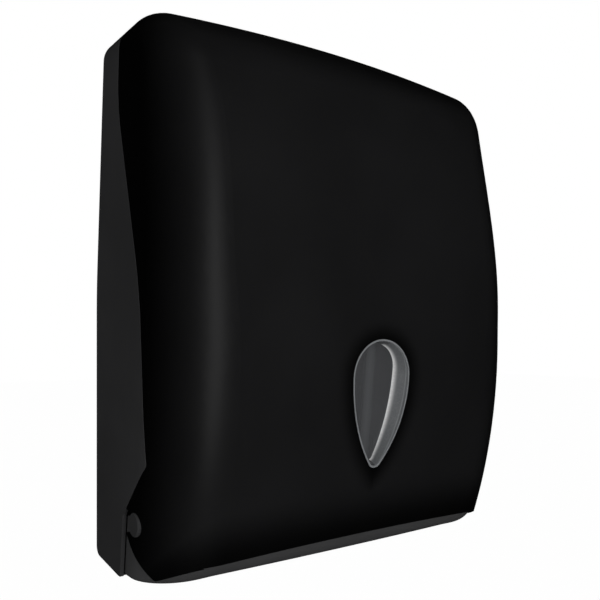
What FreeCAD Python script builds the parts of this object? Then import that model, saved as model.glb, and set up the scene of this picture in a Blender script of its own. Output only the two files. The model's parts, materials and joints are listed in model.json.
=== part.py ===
"""Wall dispenser for folded paper towels: fixed casing, hinged cover with tray, sight window and cam lock.

Millimetres. X runs to the right as one faces the dispenser, Y runs into the wall and Z runs up.
The origin lies on the wall plane, at the centre of the four screw holes.
Side profiles are drawn in the Y-Z plane, front outlines in the X-Z plane.
"""
import FreeCAD, Part
import math
import os
from FreeCAD import Vector

# Body form
WIDTH = 290.0
HEIGHT = 350.0
BELLY_DEPTH = 120.0
BELLY_Z = -26.0
UPPER_ARC_R = 638.0
LOWER_ARC_R = 422.0
BOW_R = 1519.0
BOW_LEAN = 50.5
TAPER_START_Z = 3.0
TAPER_PER_SIDE = 5.3
TAPER_BLEND_R = 900.0
TOP_FRONT_R = 53.0
LOW_CORNER_R = 41.6
HIGH_CORNER_R = 31.5
TOP_SIDE_R = 16.4
REAR_SLOPE_DEPTH = 37.0
REAR_SLOPE_RISE = 4.8
REAR_CORNER_R = 6.0

# Walls and clearances
COVER_WALL = 2.5
CASING_WALL = 2.5
TRAY_WALL = 2.2
TONGUE_WALL = 2.0
SEAM_GAP = 0.6
SLIDE_GAP = 0.4
PIVOT_CLEARANCE = 0.05
SWEEP_GAP = 1.0
HINGE_SIDE_GAP = 1.8

# Seam between casing and cover, seen from the side
SEAM_TOP_Y = -26.5
SEAM_BEND_Z = 120.0
SEAM_WAIST_Y = -69.1
SEAM_WAIST_Z = 0.0
SEAM_PEAK_Y = -77.0
SEAM_PEAK_Z = -102.0
SEAM_BEND_R = 120.0
SEAM_WAIST_R = 150.0
SEAM_CORNER_R = 2.0
STEP_TOP_Y = -44.9
STEP_FOOT_Y = -40.0
STEP_TOP_Z = -136.0
STEP_CORNER_R = 3.0
TONGUE_REACH = 6.0
RIM_DEPTH = 5.0
TONGUE_END_Z = -92.0

# Hinge
PIVOT_Y = -62.5
PIVOT_Z = -138.5
TRUNNION_R = 7.15
TRUNNION_PROUD = 0.9
TRUNNION_CHAMFER = 0.6
EAR_R = 14.0
NOTCH_WIDTH = 13.6
EAR_LOW_Y = -74.2
EAR_LOW_Z = -170.1
EDGE_RISE = 0.42
EDGE_ARCH_Z = -158.5
EDGE_ARCH_R = 2390.0
HINGE_PLATE = 3.5
HINGE_PLATE_R = 10.0
HINGE_ROOT_LOW_Z = -116.0
HINGE_ROOT_HIGH_Z = -78.0

# Wall fixing
SCREW_SPACING_X = 200.0
SCREW_SPACING_Z = 220.0
WALL_HOLE_R = 2.75
WALL_BOSS_R = 9.0
WALL_BOSS_HEIGHT = 3.0

# Back ribs
RIB_WIDTH = 1.8
RIB_HEIGHT = 5.0
RIB_X = (-60.0, -20.0, 20.0, 60.0)
RIB_Z = (-60.0, 20.0, 100.0)
RIB_LOW_Z = -128.0
RIB_HIGH_Z = 150.0

# Bottom tray
TRAY_TOP_Z = -150.0
TRAY_FRONT_EDGE_R = 30.0
TRAY_SIDE_EDGE_R = 2.8
TRAY_CHEEK_FROM_PIVOT = 8.8
MOUTH_END_INSET = 50.0
MOUTH_FRONT_SETBACK = 45.5
MOUTH_REAR_MARGIN = 6.9
MOUTH_END_ROUND = 0.98
MOUTH_LIP = 3.0
MOUTH_LIP_HEIGHT = 7.0
MOUTH_LIP_CHAMFER = 1.0
TAB_INNER_X = 40.0
TAB_OUTER_INSET = 51.0
TAB_WIDTH = 15.0
TAB_THICK = 2.2
TAB_TOP_Z = -131.0
TAB_LOW_Z = -157.0
TAB_SCREW_Z = -139.0
TAB_SETBACK = 10.2
COVER_BOSS_R = 4.2
TAB_CORNER_R = 4.0

# Paper guides
GUIDE_INSET = 14.0
GUIDE_WALL = 2.0
GUIDE_DEPTH = 62.0
GUIDE_FOOT = 14.0
GUIDE_LOW_Z = -72.0
GUIDE_HIGH_Z = 112.0
GUIDE_CORNER_R = 18.0
GUIDE_SCREW_Z = (-50.0, 90.0)
GUIDE_SLOT_WIDTH = 26.0
GUIDE_SLOT_ROUNDING = 2.2
GUIDE_SLOT_LENGTH = 70.0

# Small screws
SCREW_SHANK_R = 1.6
SCREW_HEAD_R = 3.4
SCREW_HEAD_HEIGHT = 2.2
SCREW_HEAD_CHAMFER = 0.7
SCREW_LENGTH = 9.0
SCREW_POST_R = 4.0
SCREW_POST_HEIGHT = 8.0
DRIVE_WIDTH = 0.9
DRIVE_LENGTH = 3.6
DRIVE_DEPTH = 1.2

# Sight window
WINDOW_Z = -53.4
WINDOW_HALF_WIDTH = 24.3
WINDOW_SIDE_R = 95.0
WINDOW_TIP_R = 6.0
WINDOW_FIT = 0.15
WINDOW_WALL = 1.8
WINDOW_SINK = 6.5
WINDOW_FLOOR_HALF_WIDTH = 16.4
WINDOW_FLOOR_END_INSET = 3.6
WINDOW_FLOOR_TIP_R = 3.5
WINDOW_FLANGE = 5.0
WINDOW_FLANGE_WALL = 1.6
WINDOW_RIM = 1.0

# Lock
LOCK_Y = -46.0
LOCK_SEAT_DEPTH = 0.7
LOCK_SEAT_WALL = 3.2
LOCK_SEAT_MARGIN = 1.0
LOCK_HOUSING_R = 8.0
LOCK_HOLE_GAP = 0.1
LOCK_FLANGE_R = 10.0
LOCK_FLANGE_HEIGHT = 1.6
LOCK_FLANGE_CHAMFER = 0.7
LOCK_LENGTH = 22.0
LOCK_BARREL_R = 5.5
LOCK_HEAD_R = 6.6
LOCK_HEAD_HEIGHT = 1.8
LOCK_WASHER_R = 11.5
LOCK_WASHER_THICK = 0.8
LOCK_NUT_FLATS = 21.0
LOCK_NUT_HEIGHT = 3.5
KEYWAY_WIDTH = 1.6
KEYWAY_LENGTH = 7.0
KEYWAY_DEPTH = 8.0
TENON_SIZE = 6.0
CAM_THICK = 2.0
CAM_WIDTH = 13.0
CAM_REACH = 25.0
CAM_GAP = 0.3
CAM_ROOT_ROUND = 0.9
CAM_TIP_R = 3.0
CAM_WASHER_R = 4.6
CAM_WASHER_THICK = 0.8

# Lock catch
CATCH_INNER_X = 13.5
CATCH_WIDTH = 12.0
CATCH_THICK = 2.0
CATCH_CAM_GAP = 1.6
CATCH_LIP_GAP = 1.5
CATCH_LIP_RISE = 9.0
CATCH_FOOT_WIDTH = 34.0
CATCH_FOOT_HEIGHT = 22.0
CATCH_BEND_R = 3.0
CATCH_SCREW_SPACING = 22.0

# Worked out from the sizes above
HALF_WIDTH = WIDTH / 2.0
TOP_Z = HEIGHT / 2.0
BOTTOM_Z = -HEIGHT / 2.0
BEYOND = 20.0
TONGUE_INSET = COVER_WALL + SLIDE_GAP
TRAY_INSET = COVER_WALL + SLIDE_GAP
HINGE_PLATE_INSET = TRAY_INSET + TRAY_WALL + HINGE_SIDE_GAP
BACK_INNER_Y = -CASING_WALL
GUIDE_X = HALF_WIDTH - GUIDE_INSET
MOUTH_WIDTH = WIDTH - 2.0 * MOUTH_END_INSET
TAB_OUTER_X = HALF_WIDTH - TAB_OUTER_INSET
TAB_X = (-TAB_OUTER_X, -TAB_INNER_X, TAB_INNER_X, TAB_OUTER_X)
LOCK_SEAT_Z = TOP_Z - LOCK_SEAT_DEPTH
LOCK_TOP_Z = LOCK_SEAT_Z + LOCK_FLANGE_HEIGHT
LOCK_LOW_Z = LOCK_SEAT_Z - LOCK_LENGTH
LOCK_NUT_SIDE_Z = LOCK_SEAT_Z - LOCK_SEAT_WALL
CAM_TOP_Z = LOCK_LOW_Z - CAM_GAP
CAM_LOW_Z = CAM_TOP_Z - CAM_THICK


def rounded_wire(points, radii):
    """Closed wire through the points, with each corner rounded by its radius (0 leaves it sharp)."""
    corners = []
    for i, point in enumerate(points):
        radius = radii[i]
        if radius <= 0:
            corners.append((point, None, point))
            continue
        to_last = (points[i - 1] - point).normalize()
        to_next = (points[(i + 1) % len(points)] - point).normalize()
        half = math.acos(max(-1.0, min(1.0, to_last.dot(to_next)))) / 2.0
        bisector = (to_last + to_next).normalize()
        start = point + to_last * (radius / math.tan(half))
        end = point + to_next * (radius / math.tan(half))
        middle = point + bisector * (radius / math.sin(half) - radius)
        corners.append((start, middle, end))
    edges = []
    for i, (start, middle, end) in enumerate(corners):
        if middle is not None:
            edges.append(Part.Arc(start, middle, end).toShape())
        following = corners[(i + 1) % len(corners)][0]
        if end.distanceToPoint(following) > 1e-6:
            edges.append(Part.LineSegment(end, following).toShape())
    return Part.Wire(edges)


def side_prism(profile, radii, x_low, x_high):
    """Solid with the (Y, Z) profile, from x_low to x_high."""
    points = [Vector(x_low, y, z) for y, z in profile]
    return Part.Face(rounded_wire(points, radii)).extrude(Vector(x_high - x_low, 0, 0))


def front_prism(outline, radii, y_low, y_high):
    """Solid with the (X, Z) outline, from y_low to y_high."""
    points = [Vector(x, y_low, z) for x, z in outline]
    return Part.Face(rounded_wire(points, radii)).extrude(Vector(0, y_high - y_low, 0))


def box(x_low, x_high, y_low, y_high, z_low, z_high):
    """Box between the given limits."""
    corner = Vector(x_low, y_low, z_low)
    return Part.makeBox(x_high - x_low, y_high - y_low, z_high - z_low, corner)


def rod(radius, start, end):
    """Cylinder from one point to another."""
    return Part.makeCylinder(radius, (end - start).Length, start, end - start)


def solid_of(shape):
    """The one solid that a boolean result holds, with its split faces joined."""
    return shape.removeSplitter().Solids[0]


def mirrored(shape):
    """The same shape on the other side of the middle plane."""
    return shape.mirror(Vector(0, 0, 0), Vector(1, 0, 0))


def both_sides(shape):
    """A shape and its mirror image."""
    return [shape, mirrored(shape)]


def arc_y(arc_radius, inset, z):
    """Y of the front at height z on the upper or lower arc, moved inwards by inset."""
    radius = arc_radius - inset
    return -BELLY_DEPTH + arc_radius - math.sqrt(radius ** 2 - (z - BELLY_Z) ** 2)


def front_y(z, inset=0.0):
    """Y of the cover's front on the middle plane at height z."""
    if z > BELLY_Z:
        return arc_y(UPPER_ARC_R, inset, z)
    return arc_y(LOWER_ARC_R, inset, z)


def top_round():
    """Centre (Y, Z) of the round between the front and the top."""
    centre_z = TOP_Z - TOP_FRONT_R
    reach = UPPER_ARC_R - TOP_FRONT_R
    return (UPPER_ARC_R - BELLY_DEPTH - math.sqrt(reach ** 2 - (centre_z - BELLY_Z) ** 2), centre_z)


def side_wire(inset):
    """Side profile of the front and the top, moved inwards by inset and open to the rear and below."""
    bottom = BOTTOM_Z - BEYOND
    low_front = Vector(0, front_y(bottom, inset), bottom)
    low_middle_z = (bottom + BELLY_Z) / 2.0
    belly = Vector(0, -BELLY_DEPTH + inset, BELLY_Z)
    centre_y, centre_z = top_round()
    lean = math.asin((centre_z - BELLY_Z) / (UPPER_ARC_R - TOP_FRONT_R))
    radius = TOP_FRONT_R - inset
    middle_lean = (lean + math.pi / 2.0) / 2.0
    middle_y = centre_y - radius * math.cos(middle_lean)
    round_low = Vector(0, centre_y - radius * math.cos(lean), centre_z + radius * math.sin(lean))
    round_middle = Vector(0, middle_y, centre_z + radius * math.sin(middle_lean))
    round_high = Vector(0, centre_y, TOP_Z - inset)
    high_middle_z = (round_low.z + BELLY_Z) / 2.0
    high_rear = Vector(0, BEYOND, TOP_Z - inset)
    low_rear = Vector(0, BEYOND, bottom)
    return Part.Wire([
        Part.Arc(low_front, Vector(0, front_y(low_middle_z, inset), low_middle_z), belly).toShape(),
        Part.Arc(belly, Vector(0, front_y(high_middle_z, inset), high_middle_z), round_low).toShape(),
        Part.Arc(round_low, round_middle, round_high).toShape(),
        Part.LineSegment(round_high, high_rear).toShape(),
        Part.LineSegment(high_rear, low_rear).toShape(),
        Part.LineSegment(low_rear, low_front).toShape(),
    ])


def rear_and_floor(rear, floor, slope):
    """Region in front of the rear plane and above the floor, with or without the slope at the rear."""
    bottom = BOTTOM_Z + floor
    ahead = -BELLY_DEPTH - BEYOND
    above = TOP_Z + BEYOND
    profile = [(-rear, above), (ahead, above), (ahead, bottom)]
    radii = [0, 0, 0]
    if slope:
        angle = math.atan2(REAR_SLOPE_RISE, REAR_SLOPE_DEPTH)
        lift = floor / math.cos(angle)
        profile.append((-REAR_SLOPE_DEPTH - (lift - floor) / math.tan(angle), bottom))
        profile.append((-rear, BOTTOM_Z + REAR_SLOPE_RISE + lift - rear * math.tan(angle)))
        radii += [0, REAR_CORNER_R - rear]
    else:
        profile.append((-rear, bottom))
        radii.append(0)
    return side_prism(profile, radii, -WIDTH, WIDTH)


def outline_prism(inset):
    """Front outline with tapered upper sides, open above and below."""
    half = HALF_WIDTH - inset
    low = BOTTOM_Z - BEYOND
    high = TOP_Z + BEYOND
    taper = TAPER_PER_SIDE / (TOP_Z - TAPER_START_Z)
    y = BEYOND
    corner = Vector(half, y, TAPER_START_Z)
    shoulder = Vector(half - taper * (high - TAPER_START_Z), y, high)
    turn = math.atan(taper) / 2.0
    reach = TAPER_BLEND_R * math.tan(turn)
    up = (shoulder - corner).normalize()
    blend_low = corner - Vector(0, 0, reach)
    blend_high = corner + up * reach
    bisector = (up - Vector(0, 0, 1)).normalize()
    blend_middle = corner + bisector * (TAPER_BLEND_R / math.cos(turn) - TAPER_BLEND_R)
    right = [Vector(half, y, low), blend_low, blend_middle, blend_high, shoulder]
    left = [mirror_point(point) for point in right]
    edges = [
        Part.LineSegment(left[0], right[0]).toShape(),
        Part.LineSegment(right[0], right[1]).toShape(),
        Part.Arc(right[1], right[2], right[3]).toShape(),
        Part.LineSegment(right[3], right[4]).toShape(),
        Part.LineSegment(right[4], left[4]).toShape(),
        Part.LineSegment(left[4], left[3]).toShape(),
        Part.Arc(left[3], left[2], left[1]).toShape(),
        Part.LineSegment(left[1], left[0]).toShape(),
    ]
    return Part.Face(Part.Wire(edges)).extrude(Vector(0, -BELLY_DEPTH - 2 * BEYOND, 0))


def round_edges(solid, rounds):
    """Fillet edges that are given as (number, radius at the start, radius at the end)."""
    document = FreeCAD.newDocument("rounding")
    base = document.addObject("Part::Feature", "Base")
    base.Shape = solid
    fillet = document.addObject("Part::Fillet", "Rounded")
    fillet.Base = base
    fillet.Edges = rounds
    document.recompute()
    rounded = fillet.Shape.Solids[0].copy()
    FreeCAD.closeDocument(document.Name)
    return rounded


def corner_radius(point, inset):
    """Radius of the corner between side and front at a point, growing smaller towards the top."""
    if point.z > TOP_Z - TOP_FRONT_R / 2.0:
        return TOP_SIDE_R - inset
    centre_z = top_round()[1]
    share = min(1.0, max(0.0, (point.z - BELLY_Z) / (centre_z - BELLY_Z)))
    return LOW_CORNER_R + (HIGH_CORNER_R - LOW_CORNER_R) * share - inset


def corner_rounds(solid, inset, rear):
    """Rounds along both corners, from the bottom up the front and back along the top."""
    rounds = []
    for number, edge in enumerate(solid.Edges, 1):
        limits = edge.BoundBox
        on_side = abs(limits.Center.x) > HALF_WIDTH * 0.8
        from_floor_up = limits.ZMax > BELLY_Z - 1.0 and limits.YMin < -rear - 1.0
        across_side = limits.ZLength < 1.0 and limits.ZMax < TOP_Z / 2.0
        if on_side and from_floor_up and not across_side:
            start = corner_radius(edge.firstVertex().Point, inset)
            end = corner_radius(edge.lastVertex().Point, inset)
            rounds.append((number, start, end))
    return rounds


def rim_rounds(solid, side_radius, front_radius):
    """Rounds along the bottom, at the sides and the front; the corners between them follow by themselves."""
    rounds = []
    for number, edge in enumerate(solid.Edges, 1):
        limits = edge.BoundBox
        flat = limits.ZLength < 0.01 and limits.ZMax < BELLY_Z
        if not flat or limits.YMin > -1.0:
            continue
        if limits.XLength < 1.0:
            rounds.append((number, side_radius, side_radius))
        elif limits.XMin * limits.XMax < 0:
            rounds.append((number, front_radius, front_radius))
    return rounds


def body(inset, rear, floor, slope):
    """Outer form of the dispenser, moved inwards; its rear and floor have insets of their own."""
    lean = math.radians(BOW_LEAN)
    top_front_y = top_round()[0]
    axis = Vector(0, top_front_y + BOW_R * math.cos(lean), TOP_Z - BOW_R * math.sin(lean))
    direction = Vector(0, math.sin(lean), math.cos(lean))
    half_turn = math.degrees(math.asin(WIDTH / BOW_R))
    profile = Part.Face(side_wire(inset))
    profile.rotate(axis, direction, -half_turn)
    bowed = profile.revolve(axis, direction, 2 * half_turn)
    solid = solid_of(bowed.common(outline_prism(inset)).common(rear_and_floor(rear, floor, slope)))
    return round_edges(solid, corner_rounds(solid, inset, rear))


def tub_body(inset, floor, side_radius, front_radius):
    """Body with its bottom edges rounded at the sides and the front."""
    solid = body(inset, 0.0, floor, False)
    return round_edges(solid, rim_rounds(solid, side_radius, front_radius))


def tangent_point(point, radius):
    """Where the rear tangent from a (Y, Z) point touches a circle about the pivot."""
    dy = PIVOT_Y - point[0]
    dz = PIVOT_Z - point[1]
    distance = math.hypot(dy, dz)
    swing = math.asin(radius / distance)
    if dz > 0:
        swing = -swing
    heading = math.atan2(dz, dy) + swing
    reach = math.sqrt(distance ** 2 - radius ** 2)
    return (point[0] + reach * math.cos(heading), point[1] + reach * math.sin(heading))


def crossing(a, b, c, d):
    """Where the line through a and b meets the line through c and d."""
    ux, uy = b[0] - a[0], b[1] - a[1]
    vx, vy = d[0] - c[0], d[1] - c[1]
    along = ((c[0] - a[0]) * vy - (c[1] - a[1]) * vx) / (ux * vy - uy * vx)
    return (a[0] + ux * along, a[1] + uy * along)


def step_y(z, gap=0.0):
    """Y of the step behind the hinge at height z, moved forwards by a gap."""
    slope = (STEP_FOOT_Y - STEP_TOP_Y) / (BOTTOM_Z - STEP_TOP_Z)
    return STEP_TOP_Y + slope * (z - STEP_TOP_Z) - gap


def casing_region(shift):
    """Region behind the seam, moved along Y by shift."""
    peak = (SEAM_PEAK_Y, SEAM_PEAK_Z)
    touch = tangent_point(peak, EAR_R + SEAM_GAP)
    low = BOTTOM_Z - BEYOND
    step_top = (STEP_TOP_Y, STEP_TOP_Z)
    step_foot = (step_y(low), low)
    profile = [
        (BEYOND, TOP_Z + BEYOND),
        (SEAM_TOP_Y, TOP_Z + BEYOND),
        (SEAM_TOP_Y, SEAM_BEND_Z),
        (SEAM_WAIST_Y, SEAM_WAIST_Z),
        peak,
        crossing(peak, touch, step_top, step_foot),
        step_foot,
        (BEYOND, low),
    ]
    radii = [0, 0, SEAM_BEND_R, SEAM_WAIST_R, SEAM_CORNER_R, STEP_CORNER_R, 0, 0]
    region = side_prism(profile, radii, -WIDTH, WIDTH)
    region.translate(Vector(0, shift, 0))
    return region


def cover_region():
    """Region in front of the seam, with the ears' round ends about the pivot."""
    peak = (SEAM_PEAK_Y - SEAM_GAP, SEAM_PEAK_Z)
    low = (EAR_LOW_Y, EAR_LOW_Z)
    ear_corner = crossing(peak, tangent_point(peak, EAR_R), low, tangent_point(low, EAR_R))
    ahead = -BELLY_DEPTH - BEYOND
    profile = [
        (SEAM_TOP_Y - SEAM_GAP, TOP_Z + BEYOND),
        (SEAM_TOP_Y - SEAM_GAP, SEAM_BEND_Z),
        (SEAM_WAIST_Y - SEAM_GAP, SEAM_WAIST_Z),
        peak,
        ear_corner,
        low,
        (ahead, EAR_LOW_Z + EDGE_RISE * (EAR_LOW_Y - ahead)),
        (ahead, TOP_Z + BEYOND),
    ]
    radii = [0, SEAM_BEND_R, SEAM_WAIST_R, SEAM_CORNER_R, EAR_R, SEAM_CORNER_R, 0, 0]
    region = side_prism(profile, radii, -WIDTH, WIDTH)
    arch_side_z = EDGE_ARCH_Z - EDGE_ARCH_R + math.sqrt(EDGE_ARCH_R ** 2 - HALF_WIDTH ** 2)
    meeting_y = EAR_LOW_Y - (arch_side_z - EAR_LOW_Z) / EDGE_RISE
    start = Vector(0, meeting_y, EDGE_ARCH_Z - EDGE_ARCH_R)
    arch = rod(EDGE_ARCH_R, start, start - Vector(0, BELLY_DEPTH, 0))
    return region.cut(arch)


def pan_screw(length):
    """Pan-head screw along +Y, with its head's seat at the origin and its shank behind."""
    head = Part.makeCylinder(SCREW_HEAD_R, SCREW_HEAD_HEIGHT, Vector(0, 0, 0), Vector(0, -1, 0))
    rim = [edge for edge in head.Edges if abs(edge.BoundBox.YMin + SCREW_HEAD_HEIGHT) < 0.01
           and edge.BoundBox.YLength < 0.01]
    head = head.makeChamfer(SCREW_HEAD_CHAMFER, rim)
    shank = Part.makeCylinder(SCREW_SHANK_R, length, Vector(0, 0, 0), Vector(0, 1, 0))
    screw = head.fuse(shank)
    half = DRIVE_LENGTH / 2.0
    slit = DRIVE_WIDTH / 2.0
    floor = -SCREW_HEAD_HEIGHT + DRIVE_DEPTH
    screw = screw.cut(box(-half, half, -SCREW_HEAD_HEIGHT - 1, floor, -slit, slit))
    screw = screw.cut(box(-slit, slit, -SCREW_HEAD_HEIGHT - 1, floor, -half, half))
    return solid_of(screw)


def placed(shape, x, y, z):
    """Copy of a shape moved to a place."""
    copy = shape.copy()
    copy.translate(Vector(x, y, z))
    return copy


def facing_wall_screws(places, seat_y):
    """Screws driven towards the wall, with their heads seated at seat_y."""
    screw = pan_screw(SCREW_LENGTH)
    return Part.makeCompound([placed(screw, x, seat_y, z) for x, z in places])


def guide_screw_places():
    """X and Z of the screws in both guide feet."""
    x = GUIDE_X - GUIDE_FOOT / 2.0
    return [(side * x, z) for side in (-1, 1) for z in GUIDE_SCREW_Z]


def catch_screw_places():
    """X and Z of the screws in the catch's foot."""
    middle_x = CATCH_INNER_X + CATCH_WIDTH / 2.0
    z = catch_arm_z() - CATCH_FOOT_HEIGHT / 2.0
    half = CATCH_SCREW_SPACING / 2.0
    return [(middle_x - half, z), (middle_x + half, z)]


def screw_posts(places):
    """Hollow posts on the back plate that the small screws bite into."""
    seat = BACK_INNER_Y - SCREW_POST_HEIGHT
    posts = [rod(SCREW_POST_R, Vector(x, BACK_INNER_Y, z), Vector(x, seat, z)) for x, z in places]
    cores = [rod(SCREW_SHANK_R, Vector(x, seat, z), Vector(x, seat + SCREW_LENGTH, z)) for x, z in places]
    return posts, cores


def tray_sweep_radius():
    """Distance from the pivot to the tray's rear bottom edge, with room to pass."""
    return math.hypot(step_y(BOTTOM_Z, SEAM_GAP) - PIVOT_Y, BOTTOM_Z - PIVOT_Z) + SWEEP_GAP


def hinge_plate():
    """Right-hand gusset that carries the trunnion, with the trunnion itself."""
    outer = HALF_WIDTH - HINGE_PLATE_INSET
    inner = outer - HINGE_PLATE
    low = (BACK_INNER_Y / 2.0, HINGE_ROOT_LOW_Z)
    high = (BACK_INNER_Y / 2.0, HINGE_ROOT_HIGH_Z)
    disc = rod(HINGE_PLATE_R, Vector(inner, PIVOT_Y, PIVOT_Z), Vector(outer, PIVOT_Y, PIVOT_Z))
    low_touch = pivot_tangent(low, 1)
    high_touch = pivot_tangent(high, -1)
    web = side_prism([low, low_touch, (PIVOT_Y, PIVOT_Z), high_touch, high], [0] * 5, inner, outer)
    tip = HALF_WIDTH + TRUNNION_PROUD
    trunnion = rod(TRUNNION_R, Vector(inner, PIVOT_Y, PIVOT_Z), Vector(tip, PIVOT_Y, PIVOT_Z))
    rim = [edge for edge in trunnion.Edges if edge.BoundBox.XMin > tip - 0.01]
    trunnion = trunnion.makeChamfer(TRUNNION_CHAMFER, rim)
    return disc.fuse([web, trunnion])


def pivot_tangent(point, side):
    """Where a line from a (Y, Z) point touches the hinge plate's disc, on one side or the other."""
    dy = PIVOT_Y - point[0]
    dz = PIVOT_Z - point[1]
    distance = math.hypot(dy, dz)
    heading = math.atan2(dz, dy) + side * math.asin(HINGE_PLATE_R / distance)
    reach = math.sqrt(distance ** 2 - HINGE_PLATE_R ** 2)
    return (point[0] + reach * math.cos(heading), point[1] + reach * math.sin(heading))


def wall_hole_places():
    """X and Z of the four holes for the wall screws."""
    half_x = SCREW_SPACING_X / 2.0
    half_z = SCREW_SPACING_Z / 2.0
    return [(x, z) for x in (-half_x, half_x) for z in (-half_z, half_z)]


def back_ribs():
    """Stiffening ribs on the inside of the back plate."""
    root = BACK_INNER_Y + CASING_WALL / 2.0
    crest = BACK_INNER_Y - RIB_HEIGHT
    half = RIB_WIDTH / 2.0
    ribs = [box(x - half, x + half, crest, root, RIB_LOW_Z, RIB_HIGH_Z) for x in RIB_X]
    ends = (RIB_X[0] - half, RIB_X[-1] + half)
    ribs += [box(ends[0], ends[1], crest, root, z - half, z + half) for z in RIB_Z]
    return ribs


def back_casing():
    """Back plate, side walls, tongue behind the cover's edge, hinge gussets and screw posts."""
    outer = body(0.0, 0.0, 0.0, True)
    inner = body(CASING_WALL, CASING_WALL, CASING_WALL, True)
    region = casing_region(0.0)
    shell = outer.cut(inner).common(region)
    tongue_outer = body(TONGUE_INSET, CASING_WALL, CASING_WALL, True)
    tongue_inner = body(TONGUE_INSET + TONGUE_WALL, CASING_WALL, CASING_WALL, True)
    band = region.cut(casing_region(RIM_DEPTH))
    reach = casing_region(-TONGUE_REACH).cut(casing_region(RIM_DEPTH))
    above = box(-WIDTH, WIDTH, -2 * BELLY_DEPTH, BEYOND, TONGUE_END_Z, 2 * TOP_Z)
    rim = outer.cut(tongue_inner).common(band).common(above)
    tongue = tongue_outer.cut(tongue_inner).common(reach).common(above)
    sweep_x = HALF_WIDTH - CASING_WALL
    sweep = rod(tray_sweep_radius(), Vector(-sweep_x, PIVOT_Y, PIVOT_Z), Vector(sweep_x, PIVOT_Y, PIVOT_Z))
    casing = shell.fuse([rim, tongue]).cut(sweep)
    bosses = []
    holes = []
    for x, z in wall_hole_places():
        crest = BACK_INNER_Y - WALL_BOSS_HEIGHT
        bosses.append(rod(WALL_BOSS_R, Vector(x, BACK_INNER_Y / 2.0, z), Vector(x, crest, z)))
        holes.append(rod(WALL_HOLE_R, Vector(x, BEYOND, z), Vector(x, -BEYOND, z)))
    posts, cores = screw_posts(guide_screw_places() + catch_screw_places())
    added = both_sides(hinge_plate()) + back_ribs() + bosses + posts
    return solid_of(casing.fuse(added).cut(Part.makeCompound(holes + cores)))


def guide_right():
    """Side wall that keeps the towels in line, with its foot on the screw posts."""
    seat = BACK_INNER_Y - SCREW_POST_HEIGHT
    inner = GUIDE_X - GUIDE_WALL
    depth = seat - GUIDE_DEPTH + SCREW_POST_HEIGHT
    profile = [(seat, GUIDE_LOW_Z), (depth, GUIDE_LOW_Z), (depth, GUIDE_HIGH_Z), (seat, GUIDE_HIGH_Z)]
    wall = side_prism(profile, [0, GUIDE_CORNER_R, GUIDE_CORNER_R, 0], inner, GUIDE_X)
    foot = box(GUIDE_X - GUIDE_FOOT, GUIDE_X, seat - GUIDE_WALL, seat, GUIDE_LOW_Z, GUIDE_HIGH_Z)
    guide = wall.fuse(foot)
    middle_y = (seat + depth) / 2.0
    middle_z = (GUIDE_LOW_Z + GUIDE_HIGH_Z) / 2.0
    slot = [
        (middle_y - GUIDE_SLOT_WIDTH / 2.0, middle_z - GUIDE_SLOT_LENGTH / 2.0),
        (middle_y + GUIDE_SLOT_WIDTH / 2.0, middle_z - GUIDE_SLOT_LENGTH / 2.0),
        (middle_y + GUIDE_SLOT_WIDTH / 2.0, middle_z + GUIDE_SLOT_LENGTH / 2.0),
        (middle_y - GUIDE_SLOT_WIDTH / 2.0, middle_z + GUIDE_SLOT_LENGTH / 2.0),
    ]
    guide = guide.cut(side_prism(slot, [GUIDE_SLOT_WIDTH / GUIDE_SLOT_ROUNDING] * 4, inner - 1, GUIDE_X + 1))
    for x, z in guide_screw_places()[2:]:
        guide = guide.cut(rod(SCREW_SHANK_R, Vector(x, seat - BEYOND, z), Vector(x, BEYOND, z)))
    return solid_of(guide)


def mouth_outline(extra, z_low, z_high):
    """Long slot with round ends for the towels, widened by extra all round."""
    half_x = MOUTH_WIDTH / 2.0 + extra
    front = -BELLY_DEPTH + MOUTH_FRONT_SETBACK - extra
    rear = step_y(BOTTOM_Z, SEAM_GAP) - MOUTH_REAR_MARGIN + extra
    corners = [
        Vector(-half_x, front, z_low),
        Vector(half_x, front, z_low),
        Vector(half_x, rear, z_low),
        Vector(-half_x, rear, z_low),
    ]
    wire = rounded_wire(corners, [(rear - front) / 2.0 * MOUTH_END_ROUND] * 4)
    return Part.Face(wire).extrude(Vector(0, 0, z_high - z_low))


def tray_region():
    """Side view of the tray: floor, lip and the cheeks under the cover's ears."""
    low = (EAR_LOW_Y, EAR_LOW_Z)
    touch = tangent_point(low, EAR_R)
    span = math.hypot(touch[0] - low[0], touch[1] - low[1])
    along = ((touch[0] - low[0]) / span, (touch[1] - low[1]) / span)
    shift = EAR_R - TRAY_CHEEK_FROM_PIVOT
    near = (low[0] - along[1] * shift, low[1] + along[0] * shift)
    far = (near[0] + along[0] * span, near[1] + along[1] * span)
    floor = BOTTOM_Z - BEYOND
    rear_top = (step_y(STEP_TOP_Z, SEAM_GAP), STEP_TOP_Z)
    rear_foot = (step_y(floor, SEAM_GAP), floor)
    ahead = -BELLY_DEPTH - BEYOND
    top_line = ((ahead, TRAY_TOP_Z), (0.0, TRAY_TOP_Z))
    profile = [
        rear_foot,
        (ahead, floor),
        (ahead, TRAY_TOP_Z),
        crossing(near, far, *top_line),
        crossing(near, far, rear_top, rear_foot),
    ]
    return side_prism(profile, [0, 0, 0, 0, SEAM_CORNER_R], -WIDTH, WIDTH)


def tab_front_y():
    """Y of the tabs' front faces, where the cover's bosses end."""
    return front_y(TAB_SCREW_Z) + TAB_SETBACK


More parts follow.
